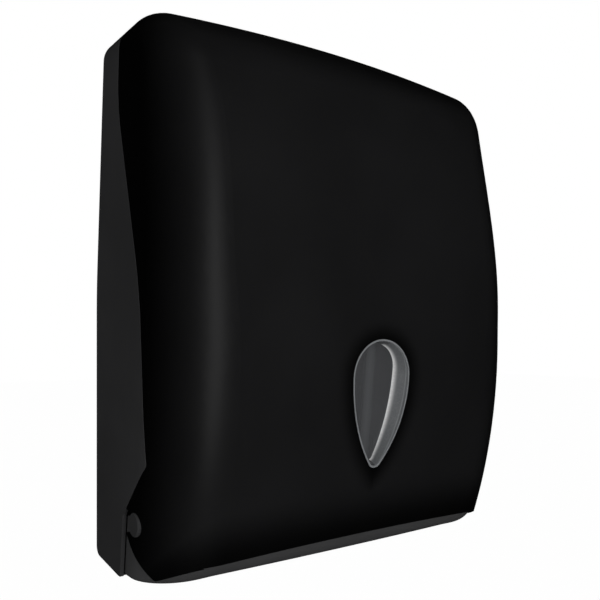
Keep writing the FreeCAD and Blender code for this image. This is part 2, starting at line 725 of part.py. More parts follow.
def tray_tabs():
    """Upright tabs that carry the screws into the cover."""
    tabs = []
    half = TAB_WIDTH / 2.0
    front = tab_front_y()
    for x in TAB_X:
        outline = [(x - half, TAB_LOW_Z), (x + half, TAB_LOW_Z), (x + half, TAB_TOP_Z), (x - half, TAB_TOP_Z)]
        tab = front_prism(outline, [0, 0, TAB_CORNER_R, TAB_CORNER_R], front, front + TAB_THICK)
        hole = rod(SCREW_SHANK_R, Vector(x, front - 1, TAB_SCREW_Z), Vector(x, 0, TAB_SCREW_Z))
        tabs.append(tab.cut(hole))
    return tabs


def bottom_tray():
    """Floor of the magazine with the towel mouth; it is screwed into the cover and swings with it."""
    inset = TRAY_INSET + TRAY_WALL
    side_r = TRAY_SIDE_EDGE_R - TRAY_WALL
    front_r = TRAY_FRONT_EDGE_R - TRAY_WALL
    outer = tub_body(TRAY_INSET, 0.0, TRAY_SIDE_EDGE_R, TRAY_FRONT_EDGE_R)
    inner = tub_body(inset, TRAY_WALL, side_r, front_r)
    tub = outer.cut(inner).common(tray_region())
    lip = mouth_outline(MOUTH_LIP, BOTTOM_Z, BOTTOM_Z + MOUTH_LIP_HEIGHT)
    hole = mouth_outline(0.0, BOTTOM_Z - 1, BOTTOM_Z + 2 * MOUTH_LIP_HEIGHT)
    crest = BOTTOM_Z + MOUTH_LIP_HEIGHT
    lip = solid_of(lip.cut(hole).common(outer))
    rim = [edge for edge in lip.Edges if edge.BoundBox.ZMin > crest - 0.01]
    lip = lip.makeChamfer(MOUTH_LIP_CHAMFER, rim)
    tray = tub.fuse([lip] + tray_tabs()).cut(hole)
    return solid_of(tray)


def tray_screws():
    """Screws through the tray's tabs into the cover's bosses."""
    screw = pan_screw(SCREW_LENGTH)
    screw.rotate(Vector(0, 0, 0), Vector(0, 0, 1), 180)
    seat = tab_front_y() + TAB_THICK
    return Part.makeCompound([placed(screw, x, seat, TAB_SCREW_Z) for x in TAB_X])


def cover_bosses():
    """Blind bosses on the inside of the cover's front for the tray screws."""
    within = body(COVER_WALL / 2.0, 0.0, 0.0, False)
    bosses = []
    for x in TAB_X:
        ahead = Vector(x, -BELLY_DEPTH - BEYOND, TAB_SCREW_Z)
        bosses.append(rod(COVER_BOSS_R, ahead, Vector(x, tab_front_y(), TAB_SCREW_Z)).common(within))
    return bosses


def drop_wire(half_width, side_radius, tip_radius, centre_z, y):
    """Drop outline: round above, long convex sides and a small round tip below."""
    side_x = half_width - side_radius
    tip_drop = math.sqrt((side_radius - tip_radius) ** 2 - side_x ** 2)
    reach = side_radius / (side_radius - tip_radius)
    touch = Vector(side_x - side_x * reach, y, centre_z - tip_drop * reach)
    angle = math.atan2(touch.z - centre_z, touch.x - side_x) / 2.0
    middle = Vector(side_x + side_radius * math.cos(angle), y, centre_z + side_radius * math.sin(angle))
    right = Vector(half_width, y, centre_z)
    left = Vector(-half_width, y, centre_z)
    edges = [
        Part.Arc(left, Vector(0, y, centre_z + half_width), right).toShape(),
        Part.Arc(right, middle, touch).toShape(),
        Part.Arc(touch, Vector(0, y, centre_z - tip_drop - tip_radius), mirror_point(touch)).toShape(),
        Part.Arc(mirror_point(touch), mirror_point(middle), left).toShape(),
    ]
    return Part.Wire(edges)


def mirror_point(point):
    """Point on the other side of the middle plane."""
    return Vector(-point.x, point.y, point.z)


def window_drop(grow, y):
    """The window's outline, grown by a distance."""
    return drop_wire(WINDOW_HALF_WIDTH + grow, WINDOW_SIDE_R + grow, WINDOW_TIP_R + grow, WINDOW_Z, y)


def window_prism(grow):
    """The window's outline cut through the whole front."""
    return Part.Face(window_drop(grow, -BELLY_DEPTH - BEYOND)).extrude(Vector(0, BELLY_DEPTH, 0))


def window_tip_drop(half_width, side_radius, tip_radius):
    """Distance from a drop's centre down to its tip."""
    return math.sqrt((side_radius - tip_radius) ** 2 - (half_width - side_radius) ** 2) + tip_radius


def window_low_z():
    """Height of the lowest point of the window's hole."""
    return WINDOW_Z - window_tip_drop(WINDOW_HALF_WIDTH, WINDOW_SIDE_R, WINDOW_TIP_R)


def dish(depth, shrink):
    """Tapered plug that shapes the sunk dish, square to the chord of the front behind the window."""
    rim = WINDOW_FIT + WINDOW_RIM + shrink
    rim_half = WINDOW_HALF_WIDTH - rim
    rim_side = WINDOW_SIDE_R - rim
    rim_tip = WINDOW_TIP_R - rim
    floor_half = WINDOW_FLOOR_HALF_WIDTH - shrink
    floor_tip = WINDOW_FLOOR_TIP_R - shrink
    floor_z = WINDOW_HALF_WIDTH - WINDOW_FLOOR_END_INSET - WINDOW_FLOOR_HALF_WIDTH
    tip_z = window_low_z() - WINDOW_Z + WINDOW_FLOOR_END_INSET + shrink
    drop = floor_z - tip_z - floor_tip
    floor_side = (drop ** 2 + floor_half ** 2 - floor_tip ** 2) / (2.0 * (floor_half - floor_tip))
    outer = drop_wire(rim_half, rim_side, rim_tip, 0, 0)
    floor = drop_wire(floor_half, floor_side, floor_tip, floor_z, depth)
    collar = Part.Face(outer).extrude(Vector(0, -2 * WINDOW_SINK, 0))
    plug = Part.makeLoft([outer, floor], True, True).fuse(collar)
    high_z = WINDOW_Z + WINDOW_HALF_WIDTH
    low_z = window_low_z()
    tilt = math.atan2(front_y(low_z) - front_y(high_z), high_z - low_z)
    share = (high_z - WINDOW_Z) / (high_z - low_z)
    chord_y = front_y(high_z) + (front_y(low_z) - front_y(high_z)) * share
    plug.rotate(Vector(0, 0, 0), Vector(1, 0, 0), math.degrees(tilt))
    plug.translate(Vector(0, chord_y, WINDOW_Z))
    return plug


def window_slab(front, thick):
    """Layer of the body's front, from one inset to another, behind the window's outline."""
    outer = body(front, 0.0, 0.0, False)
    inner = body(front + thick, 0.0, 0.0, False)
    return outer.cut(inner)


def sight_window():
    """Clear drop-shaped dish, with a flange behind the cover's wall and a rim in its hole."""
    flange = window_slab(COVER_WALL, WINDOW_FLANGE_WALL).common(window_prism(WINDOW_FLANGE))
    skin = window_slab(0.0, COVER_WALL + WINDOW_FLANGE_WALL).common(window_prism(-WINDOW_FIT))
    behind = body(COVER_WALL + WINDOW_FLANGE_WALL / 2.0, 0.0, 0.0, False)
    bowl = dish(WINDOW_SINK + WINDOW_WALL, -WINDOW_WALL).common(behind)
    window = skin.fuse([flange, bowl])
    return solid_of(window.cut(dish(WINDOW_SINK, 0.0)))


def front_cover():
    """Shell in front of the seam, with ears, window hole, lock hole and tray bosses."""
    outer = body(0.0, 0.0, 0.0, False)
    inner = body(COVER_WALL, 0.0, 0.0, False)
    shell = outer.cut(inner).common(cover_region())
    lock_boss = upright(LOCK_WASHER_R + LOCK_SEAT_MARGIN, LOCK_NUT_SIDE_Z, TOP_Z).common(outer)
    shell = shell.fuse(cover_bosses() + [lock_boss])
    bore = TRUNNION_R + PIVOT_CLEARANCE
    cuts = [window_prism(0.0)]
    cuts.append(upright(LOCK_HOUSING_R + LOCK_HOLE_GAP, TOP_Z - BEYOND, TOP_Z + BEYOND))
    cuts.append(upright(LOCK_FLANGE_R + LOCK_SEAT_MARGIN, LOCK_SEAT_Z, TOP_Z + BEYOND))
    cuts.append(upright(LOCK_WASHER_R + LOCK_SEAT_MARGIN, LOCK_LOW_Z, LOCK_NUT_SIDE_Z))
    cuts.append(rod(bore, Vector(-WIDTH, PIVOT_Y, PIVOT_Z), Vector(WIDTH, PIVOT_Y, PIVOT_Z)))
    half = NOTCH_WIDTH / 2.0
    cuts.append(box(-WIDTH, WIDTH, PIVOT_Y, PIVOT_Y + 2 * EAR_R, PIVOT_Z - half, PIVOT_Z + half))
    front = tab_front_y()
    for x in TAB_X:
        core_end = Vector(x, front - SCREW_LENGTH + TAB_THICK, TAB_SCREW_Z)
        cuts.append(rod(SCREW_SHANK_R, Vector(x, front + 1, TAB_SCREW_Z), core_end))
    return solid_of(shell.cut(Part.makeCompound(cuts)))


def upright(radius, z_low, z_high):
    """Cylinder on the lock's axis."""
    return rod(radius, Vector(0, LOCK_Y, z_low), Vector(0, LOCK_Y, z_high))


def lock_housing():
    """Flanged sleeve that stands in the cover's top."""
    flange = upright(LOCK_FLANGE_R, LOCK_SEAT_Z, LOCK_TOP_Z)
    rim = [edge for edge in flange.Edges if edge.BoundBox.ZMin > LOCK_TOP_Z - 0.01]
    flange = flange.makeChamfer(LOCK_FLANGE_CHAMFER, rim)
    housing = flange.fuse(upright(LOCK_HOUSING_R, LOCK_LOW_Z, LOCK_SEAT_Z))
    seat = LOCK_TOP_Z - LOCK_HEAD_HEIGHT
    housing = housing.cut(upright(LOCK_BARREL_R + PIVOT_CLEARANCE, LOCK_LOW_Z - 1, LOCK_TOP_Z + 1))
    return solid_of(housing.cut(upright(LOCK_HEAD_R + PIVOT_CLEARANCE, seat, LOCK_TOP_Z + 1)))


def lock_washer():
    """Flat washer between the cover and the nut."""
    low = LOCK_NUT_SIDE_Z - LOCK_WASHER_THICK
    return upright(LOCK_WASHER_R, low, LOCK_NUT_SIDE_Z).cut(upright(LOCK_HOUSING_R, low - 1, TOP_Z))


def lock_nut():
    """Thin hexagon nut on the housing."""
    high = LOCK_NUT_SIDE_Z - LOCK_WASHER_THICK
    low = high - LOCK_NUT_HEIGHT
    corner_r = LOCK_NUT_FLATS / math.sqrt(3.0)
    corners = []
    for step in range(6):
        angle = math.radians(60 * step)
        corners.append(Vector(corner_r * math.cos(angle), LOCK_Y + corner_r * math.sin(angle), low))
    nut = Part.Face(rounded_wire(corners, [0] * 6)).extrude(Vector(0, 0, high - low))
    return nut.cut(upright(LOCK_HOUSING_R, low - 1, high + 1))


def tenon(z_low, z_high):
    """Square end of the barrel."""
    half = TENON_SIZE / 2.0
    return box(-half, half, LOCK_Y - half, LOCK_Y + half, z_low, z_high)


def cam_screw_seat():
    """Height of the cam screw's head seat."""
    return CAM_LOW_Z - CAM_WASHER_THICK


def lock_barrel():
    """Turning barrel with its head, keyway and square end."""
    head_low = LOCK_TOP_Z - LOCK_HEAD_HEIGHT
    barrel = upright(LOCK_HEAD_R, head_low, LOCK_TOP_Z).fuse(upright(LOCK_BARREL_R, CAM_TOP_Z, LOCK_TOP_Z))
    barrel = barrel.fuse(tenon(CAM_LOW_Z, CAM_TOP_Z + 1))
    half_w = KEYWAY_WIDTH / 2.0
    half_l = KEYWAY_LENGTH / 2.0
    keyway = box(-half_w, half_w, LOCK_Y - half_l, LOCK_Y + half_l, LOCK_TOP_Z - KEYWAY_DEPTH, LOCK_TOP_Z + 1)
    core = upright(SCREW_SHANK_R, cam_screw_seat(), cam_screw_seat() + SCREW_LENGTH)
    return solid_of(barrel.cut(keyway).cut(core))


def lock_cam():
    """Flat cam with a round end; it points to the wall when the lock is open."""
    half = CAM_WIDTH / 2.0
    z = CAM_LOW_Z
    root = LOCK_Y - half
    tip = LOCK_Y + CAM_REACH
    corners = [Vector(-half, root, z), Vector(half, root, z), Vector(half, tip, z), Vector(-half, tip, z)]
    root_r = half * CAM_ROOT_ROUND
    outline = rounded_wire(corners, [root_r, root_r, CAM_TIP_R, CAM_TIP_R])
    cam = Part.Face(outline).extrude(Vector(0, 0, CAM_THICK))
    return solid_of(cam.cut(tenon(CAM_LOW_Z - 1, CAM_TOP_Z + 1)))


def cam_washer():
    """Washer between the cam and its screw."""
    low = CAM_LOW_Z - CAM_WASHER_THICK
    return upright(CAM_WASHER_R, low, CAM_LOW_Z).cut(upright(SCREW_SHANK_R, low - 1, CAM_TOP_Z))


def cam_screw():
    """Screw that holds the cam on the barrel."""
    screw = pan_screw(SCREW_LENGTH)
    screw.rotate(Vector(0, 0, 0), Vector(1, 0, 0), 90)
    return placed(screw, 0, LOCK_Y, cam_screw_seat())


def catch_arm_z():
    """Top of the catch's arm, below the cam and its screw's side of the sweep."""
    return CAM_LOW_Z - CATCH_CAM_GAP


def lock_catch():
    """Bent steel strip: foot on the back, arm below the cam and a lip in front of it."""
    low_x = CATCH_INNER_X
    high_x = CATCH_INNER_X + CATCH_WIDTH
    arm_high = catch_arm_z()
    seat = BACK_INNER_Y - SCREW_POST_HEIGHT
    lip_rear = LOCK_Y - CAM_WIDTH / 2.0 - CATCH_LIP_GAP
    lip_front = lip_rear - CATCH_THICK
    profile = [
        (seat, arm_high),
        (seat, arm_high - CATCH_THICK),
        (lip_front, arm_high - CATCH_THICK),
        (lip_front, arm_high + CATCH_LIP_RISE),
        (lip_rear, arm_high + CATCH_LIP_RISE),
        (lip_rear, arm_high),
    ]
    strip = side_prism(profile, [0, 0, CATCH_BEND_R, 0, 0, CATCH_BEND_R - CATCH_THICK], low_x, high_x)
    middle = (low_x + high_x) / 2.0
    half = CATCH_FOOT_WIDTH / 2.0
    outline = [
        (middle - half, arm_high - CATCH_FOOT_HEIGHT),
        (middle + half, arm_high - CATCH_FOOT_HEIGHT),
        (middle + half, arm_high),
        (middle - half, arm_high),
    ]
    foot = front_prism(outline, [CATCH_BEND_R] * 4, seat - CATCH_THICK, seat)
    catch = strip.fuse(foot)
    for x, z in catch_screw_places():
        catch = catch.cut(rod(SCREW_SHANK_R, Vector(x, seat - BEYOND, z), Vector(x, BEYOND, z)))
    return solid_of(catch)


def make_parts():
    """Every piece by its name."""
    seat = BACK_INNER_Y - SCREW_POST_HEIGHT
    guide = guide_right()
    return {
        "back_casing": back_casing(),
        "paper_guide_left": mirrored(guide),
        "paper_guide_right": guide,
        "guide_screws": facing_wall_screws(guide_screw_places(), seat - GUIDE_WALL),
        "lock_catch": lock_catch(),
        "catch_screws": facing_wall_screws(catch_screw_places(), seat - CATCH_THICK),
        "front_cover": front_cover(),
        "sight_window": sight_window(),
        "bottom_tray": bottom_tray(),
        "tray_screws": tray_screws(),
        "lock_housing": lock_housing(),
        "lock_washer": lock_washer(),
        "lock_nut": lock_nut(),
        "lock_barrel": lock_barrel(),
        "lock_cam": lock_cam(),
        "cam_washer": cam_washer(),
        "cam_screw": cam_screw(),
    }


def write_parts():
    """Write one STEP file for each piece."""
    os.makedirs("parts", exist_ok=True)
    for name, shape in make_parts().items():
        shape.exportStep("parts/" + name + ".step")
        print(name, "valid", shape.isValid(), "solids", len(shape.Solids), "volume", round(shape.Volume))


write_parts()
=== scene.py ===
"""Dressed model of the wall dispenser for folded paper towels.

Metres. X runs to the right as one faces the dispenser, Y runs into the wall and Z runs up.
Each sub-assembly is a class: it takes its own solids from the frame, dresses them and adds the
small pieces that the solids leave out. Each finish is a frozen dataclass that builds a material.
"""
from __future__ import annotations

import json
import logging
import math
from dataclasses import dataclass, field
from enum import Enum

import bmesh
import bpy
from mathutils import Matrix, Quaternion, Vector

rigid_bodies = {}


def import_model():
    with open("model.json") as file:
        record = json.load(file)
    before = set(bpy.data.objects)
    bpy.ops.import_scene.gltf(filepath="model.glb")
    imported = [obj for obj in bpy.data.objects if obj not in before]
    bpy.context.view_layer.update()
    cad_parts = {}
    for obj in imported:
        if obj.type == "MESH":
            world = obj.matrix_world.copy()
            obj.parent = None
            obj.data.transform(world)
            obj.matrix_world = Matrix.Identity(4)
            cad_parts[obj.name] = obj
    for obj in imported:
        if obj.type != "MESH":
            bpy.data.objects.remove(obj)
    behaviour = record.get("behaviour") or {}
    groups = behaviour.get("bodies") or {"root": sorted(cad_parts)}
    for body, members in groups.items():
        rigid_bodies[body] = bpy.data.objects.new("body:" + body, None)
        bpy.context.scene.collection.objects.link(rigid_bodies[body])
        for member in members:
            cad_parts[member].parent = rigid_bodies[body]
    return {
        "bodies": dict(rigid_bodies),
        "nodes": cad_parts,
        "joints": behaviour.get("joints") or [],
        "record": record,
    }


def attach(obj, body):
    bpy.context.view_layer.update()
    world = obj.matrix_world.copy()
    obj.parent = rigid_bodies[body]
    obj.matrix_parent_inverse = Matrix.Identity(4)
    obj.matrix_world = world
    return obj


Colour = tuple[float, float, float]
Point = tuple[float, float, float]
Span = tuple[float, float]

MM = 0.001
QUARTER_TURN = math.radians(90.0)
WHITE: Colour = (1.0, 1.0, 1.0)

# The cover's front, seen from the side: two arcs that meet where it stands out most.
BELLY_DEPTH = 120.0 * MM
BELLY_Z = -26.0 * MM
UPPER_ARC_R = 638.0 * MM
LOWER_ARC_R = 422.0 * MM

# The cover's lower edge, which rises from the wall to the front.
EDGE_RISE = 0.42
EDGE_LOW_Z = -201.3 * MM

# The drop-shaped window: a half circle above its centre and two long arcs below.
WINDOW_Z = -53.4 * MM
WINDOW_HALF_WIDTH = 24.3 * MM
WINDOW_SIDE_R = 95.0 * MM

# Shading that all the finishes share.
NOISE_MEAN = 0.5
BEVEL_SAMPLES = 6
EDGE_BEND: Span = (0.01, 0.18)
UPWARD_TILT: Span = (0.35, 1.0)

# Sockets of the Mix node for colours.
MIX_FACTOR = 0
MIX_FIRST = 6
MIX_SECOND = 7
MIX_RESULT = 2

log = logging.getLogger("dispenser")


class Body(Enum):
    """The bodies that the joints move."""

    CASING = "casing"
    COVER = "cover"
    LOCK = "lock"


class Slot(Enum):
    """The record's material slots."""

    COVER = "cover_abs"
    CASING = "casing_abs"
    TRAY = "tray_abs"
    GUIDE = "guide_plastic"
    WINDOW = "window_clear"
    LOCK = "lock_zinc"
    STEEL = "steel_zinc"


def toned(colour: Colour, factor: float) -> Colour:
    """The colour made lighter or darker by a factor."""
    return tuple(min(1.0, channel * factor) for channel in colour)


def linked(mesh: bmesh.types.BMesh, name: str, material: bpy.types.Material) -> bpy.types.Object:
    """Makes an object of a mesh and puts it in the scene.

    Args:
        mesh: Its mesh, which is freed.
        name: The object's name.
        material: Its material.

    Returns:
        The object.
    """
    data = bpy.data.meshes.new(name)
    mesh.to_mesh(data)
    mesh.free()
    data.materials.append(material)
    made = bpy.data.objects.new(name, data)
    bpy.context.scene.collection.objects.link(made)
    return made


class Value:
    """A number that a shader socket gives, on which Python's operators add Math nodes."""

    def __init__(self, shader: Shader, socket: bpy.types.NodeSocket) -> None:
        """Wraps a socket.

        Args:
            shader: The shader whose tree the socket is in.
            socket: An output that gives a number.
        """
        self.shader = shader
        self.socket = socket

    def _math(self, operation: str, first: Value | float, second: Value | float) -> Value:
        """Adds one Math node.

        Args:
            operation: The Math node's operation.
            first: Its first input.
            second: Its second input.

        Returns:
            The node's result.
        """
        return self.shader.value("ShaderNodeMath", {"operation": operation}, {0: first, 1: second})

    def __add__(self, other: Value | float) -> Value:
        """Sum."""
        return self._math("ADD", self, other)

    def __radd__(self, other: float) -> Value:
        """Sum."""
        return self._math("ADD", other, self)

    def __sub__(self, other: Value | float) -> Value:
        """Difference."""
        return self._math("SUBTRACT", self, other)

    def __rsub__(self, other: float) -> Value:
        """Difference from a number."""
        return self._math("SUBTRACT", other, self)

    def __mul__(self, other: Value | float) -> Value:
        """Product."""
        return self._math("MULTIPLY", self, other)

    def __truediv__(self, other: Value | float) -> Value:
        """Quotient."""
        return self._math("DIVIDE", self, other)

    def __pow__(self, other: Value | float) -> Value:
        """Power."""
        return self._math("POWER", self, other)

    def __abs__(self) -> Value:
        """Size without sign."""
        return self._math("ABSOLUTE", self, 0.0)

    def smaller(self, other: Value | float) -> Value:
        """The smaller of two values."""
        return self._math("MINIMUM", self, other)

    def larger(self, other: Value | float) -> Value:
        """The larger of two values."""
        return self._math("MAXIMUM", self, other)

    def step(self, low: float, high: float) -> Value:
        """Smooth step of the value.

        Args:
            low: Where the result is 0.
            high: Where the result is 1.

        Returns:
            A value from 0 to 1.
        """
        settings = {"interpolation_type": "SMOOTHSTEP"}
        ends = {"Value": self, "From Min": low, "From Max": high, "To Min": 0.0, "To Max": 1.0}
        return self.shader.value("ShaderNodeMapRange", settings, ends)


class Shader:
    """One material's node tree."""

    def __init__(self, name: str, target: bpy.types.ID | None = None) -> None:
        """Starts an empty tree.

        Args:
            name: The material's name.
            target: A world to build in, or None for a new material.
        """
        self.target = target or bpy.data.materials.new(name)
        self.target.use_nodes = True
        self.tree = self.target.node_tree
        self.tree.nodes.clear()

    def feed(self, socket: bpy.types.NodeSocket, item: object) -> None:
        """Links or sets an input socket.

        Args:
            socket: The input.
            item: A value or an output to link, or a number, vector or colour to set.
        """
        if isinstance(item, Value):
            self.tree.links.new(item.socket, socket)
        elif isinstance(item, bpy.types.NodeSocket):
            self.tree.links.new(item, socket)
        elif socket.type == "RGBA":
            socket.default_value = (*item, 1.0)
        else:
            socket.default_value = item

    def node(self, kind: str, settings: dict[str, object] | None = None,
             inputs: dict[int | str, object] | None = None) -> bpy.types.Node:
        """Adds a node.

        Args:
            kind: The node's type.
            settings: Its properties, set before its inputs.
            inputs: What feeds each input socket, by the socket's name or index.

        Returns:
            The new node.
        """
        made = self.tree.nodes.new(kind)
        for key, item in (settings or {}).items():
            setattr(made, key, item)
        for key, item in (inputs or {}).items():
            self.feed(made.inputs[key], item)
        return made

    def value(self, kind: str, settings: dict[str, object] | None = None,
              inputs: dict[int | str, object] | None = None, output: int | str = 0) -> Value:
        """Adds a node and wraps one of its outputs.

        Args:
            kind: The node's type.
            settings: Its properties.
            inputs: What feeds its input sockets.
            output: The output's name or index.

        Returns:
            The output as a value.
        """
        return Value(self, self.node(kind, settings, inputs).outputs[output])

    def place(self) -> bpy.types.NodeSocket:
        """Where a point of the surface is, in the row frame."""
        return self.node("ShaderNodeTexCoord").outputs["Object"]

    def facing(self) -> bpy.types.NodeSocket:
        """The surface's plain normal."""
        return self.node("ShaderNodeNewGeometry").outputs["Normal"]

    def split(self, vector: bpy.types.NodeSocket) -> list[Value]:
        """The three coordinates of a vector."""
        parts = self.node("ShaderNodeSeparateXYZ", None, {0: vector}).outputs
        return [Value(self, part) for part in parts]

    def scaled(self, scale: Point) -> bpy.types.NodeSocket:
        """The place, stretched along each axis."""
        return self.node("ShaderNodeMapping", None, {"Vector": self.place(), "Scale": scale}).outputs[0]

    def mix(self, factor: Value | float, first: Colour | bpy.types.NodeSocket,
            second: Colour | bpy.types.NodeSocket) -> bpy.types.NodeSocket:
        """Mixes two colours.

        Args:
            factor: Share of the second.
            first: The first colour.
            second: The second colour.

        Returns:
            The mixed colour's output.
        """
        inputs = {MIX_FACTOR: factor, MIX_FIRST: first, MIX_SECOND: second}
        return self.node("ShaderNodeMix", {"data_type": "RGBA"}, inputs).outputs[MIX_RESULT]

    def soft_edges(self, radius: float) -> bpy.types.NodeSocket:
        """The surface's normal with its edges rounded off."""
        return self.node("ShaderNodeBevel", {"samples": BEVEL_SAMPLES}, {"Radius": radius}).outputs[0]

    def edge_mask(self, rounded: bpy.types.NodeSocket) -> Value:
        """How near a sharp edge a point is.

        Args:
            rounded: The normal with rounded edges.

        Returns:
            0 on a plain face and 1 on an edge.
        """
        normals = {0: rounded, 1: self.facing()}
        likeness = self.value("ShaderNodeVectorMath", {"operation": "DOT_PRODUCT"}, normals, "Value")
        return (1.0 - likeness).step(*EDGE_BEND)

    def upward(self) -> Value:
        """1 where the surface looks up, and 0 where it looks sideways or down."""
        _, _, up = self.split(self.facing())
        return up.step(*UPWARD_TILT)

    def bump(self, height: Value, distance: float, normal: bpy.types.NodeSocket) -> bpy.types.NodeSocket:
        """Bump from a height.

        Args:
            height: The height, from 0 to 1.
            distance: How far 1 stands above 0, in metres.
            normal: The normal under it.

        Returns:
            The bumped normal.
        """
        inputs = {"Height": height, "Distance": distance, "Normal": normal}
        return self.node("ShaderNodeBump", None, inputs).outputs[0]

    def surface(self, inputs: dict[str, object]) -> bpy.types.Material:
        """Ends the tree in a Principled shader.

        Args:
            inputs: What feeds the shader's sockets, by their names.

        Returns:
            The finished material.
        """
        made = self.node("ShaderNodeBsdfPrincipled", None, inputs)
        self.node("ShaderNodeOutputMaterial", None, {"Surface": made.outputs[0]})
        return self.target


@dataclass(frozen=True)
class Pattern:
    """Noise over a surface and the patches it makes, which start and are full at the span's two values.

    The waves are counted to the metre and the detail in octaves, and the stretch is along each axis.
    """

    waves: float
    detail: float
    span: Span = (0.0, 1.0)
    stretch: Point | None = None

    def noise(self, shader: Shader) -> Value:
        """Reads the noise.

        Args:
            shader: The material's tree.

        Returns:
            A value around a half.
        """
        place = shader.scaled(self.stretch) if self.stretch else shader.place()
        inputs = {"Vector": place, "Scale": self.waves, "Detail": self.detail}
        return shader.value("ShaderNodeTexNoise", {"noise_dimensions": "3D"}, inputs, "Fac")

    def patches(self, shader: Shader) -> Value:
        """The patches that the noise makes, from 0 to 1."""
        return self.noise(shader).step(*self.span)


@dataclass(frozen=True)
class PaintedRimShade:
    """Painted shade: a darker colour of a moulding along its sides, its top and bottom and round its
    window.

    Each span runs from where the shade starts to where it is full.
    """

    # How strongly the painted shade darkens the colour, and the factor that the colour falls to where it
    # is full.
    share: float
    tone: float = 0.04
    behind_front: Span = (1.0 * MM, 44.0 * MM)
    side_power: float = 0.42
    above_low_edge: Span = (34.0 * MM, 1.0 * MM)
    top_z: Span = (136.0 * MM, 166.0 * MM)
    right_x: Span = (104.0 * MM, 142.0 * MM)
    outside_window: Span = (14.0 * MM, -2.0 * MM)
    arcs_blend: float = 0.5 * MM

    def from_window(self, x: Value, z: Value) -> Value:
        """Measures how far a point is from the window's outline.

        Args:
            x: The point's place to the right.
            z: The point's height.

        Returns:
            The distance, in metres.
        """
        height = z - WINDOW_Z
        centre = height.step(self.arcs_blend, -self.arcs_blend) * (WINDOW_SIDE_R - WINDOW_HALF_WIDTH)
        across = abs(x) + centre
        return (across * across + height * height) ** 0.5 - centre - WINDOW_HALF_WIDTH

    def mask(self, shader: Shader) -> Value:
        """Builds where the painted shade lies.

        Args:
            shader: The material's tree.

        Returns:
            0 in the middle of the front and 1 at the rims.
        """
        x, y, z = shader.split(shader.place())
        above = (z - BELLY_Z).larger(0.0)
        below = (z - BELLY_Z).smaller(0.0)
        front = above * above / (2.0 * UPPER_ARC_R) + below * below / (2.0 * LOWER_ARC_R) - BELLY_DEPTH
        sides = (y - front).step(*self.behind_front) ** self.side_power
        low = (z + y * EDGE_RISE - EDGE_LOW_Z).step(*self.above_low_edge)
        top = z.step(*self.top_z)
        right = x.step(*self.right_x)
        window = self.from_window(x, z).step(*self.outside_window)
        return sides.larger(low).larger(top).larger(right).larger(window)


@dataclass(frozen=True)
class MouldedPlastic:
    """Injection-moulded plastic with a spark-eroded grain, handling marks, rubbed edges and dust."""

    name: str
    slot: Slot
    colour: Colour
    roughness: float
    gloss: float
    # Painted shade towards the rims, where one is given.
    shade: PaintedRimShade | None = None
    clouds: Pattern = Pattern(9.0, 3.0, (0.3, 0.7))
    cloud_drift: float = 0.12
    cloud_rough: float = 0.06
    flecks: Pattern = Pattern(520.0, 1.0, (0.62, 0.75))
    fleck_share: float = 0.25
    fleck_lift: float = 1.35
    fleck_height: float = 0.2
    grain: Pattern = Pattern(1.0 / (0.45 * MM), 2.0)
    grain_rough: float = 0.08
    grain_height: float = 0.8
    grain_depth: float = 0.010 * MM
    handling: Pattern = Pattern(26.0, 4.0, (0.52, 0.72), (1.0, 1.0, 0.45))
    handling_polish: float = 0.05
    rubs: Pattern = Pattern(90.0, 3.0, (0.66, 0.74), (1.0, 1.0, 0.06))
    rub_rough: float = 0.06
    edge_radius: float = 0.5 * MM
    edge_share: float = 0.5
    edge_lift: float = 1.5
    edge_polish: float = 0.08
    specks: Pattern = Pattern(1400.0, 3.0, (0.45, 0.8))
    dust: float = 0.03
    dust_colour: Colour = (0.20, 0.195, 0.185)
    dust_rough: float = 0.5

    def build(self) -> bpy.types.Material:
        """Builds the material.

        Returns:
            The material.
        """
        shader = Shader(self.name)
        clouds = self.clouds.noise(shader)
        flecks = self.flecks.noise(shader)
        grain = self.grain.noise(shader)
        handling = self.handling.patches(shader)
        rubs = self.rubs.patches(shader)
        specks = self.specks.patches(shader)
        rounded = shader.soft_edges(self.edge_radius)
        edge = shader.edge_mask(rounded)
        darker = toned(self.colour, 1.0 - self.cloud_drift)
        lighter = toned(self.colour, 1.0 + self.cloud_drift)
        colour = shader.mix(clouds.step(*self.clouds.span), darker, lighter)
        fleck = flecks.step(*self.flecks.span) * self.fleck_share
        colour = shader.mix(fleck, colour, toned(self.colour, self.fleck_lift))
        colour = shader.mix(edge * self.edge_share, colour, toned(self.colour, self.edge_lift))
        # Painted shade: the colour darkens towards the sides, top, lower edge and window.
        if self.shade:
            rim = self.shade.mask(shader) * self.shade.share
            colour = shader.mix(rim, colour, toned(self.colour, self.shade.tone))
        settled = shader.upward() * specks * self.dust
        colour = shader.mix(settled, colour, self.dust_colour)
        rough = self.roughness + (clouds - NOISE_MEAN) * self.cloud_rough
        rough = rough + (grain - NOISE_MEAN) * self.grain_rough
        rough = rough - handling * self.handling_polish + rubs * self.rub_rough
        rough = rough - edge * self.edge_polish + settled * self.dust_rough
        height = grain * self.grain_height + flecks * self.fleck_height
        return shader.surface({
            "Base Color": colour,
            "Roughness": rough,
            "Specular IOR Level": self.gloss,
            "Normal": shader.bump(height, self.grain_depth, rounded),
        })


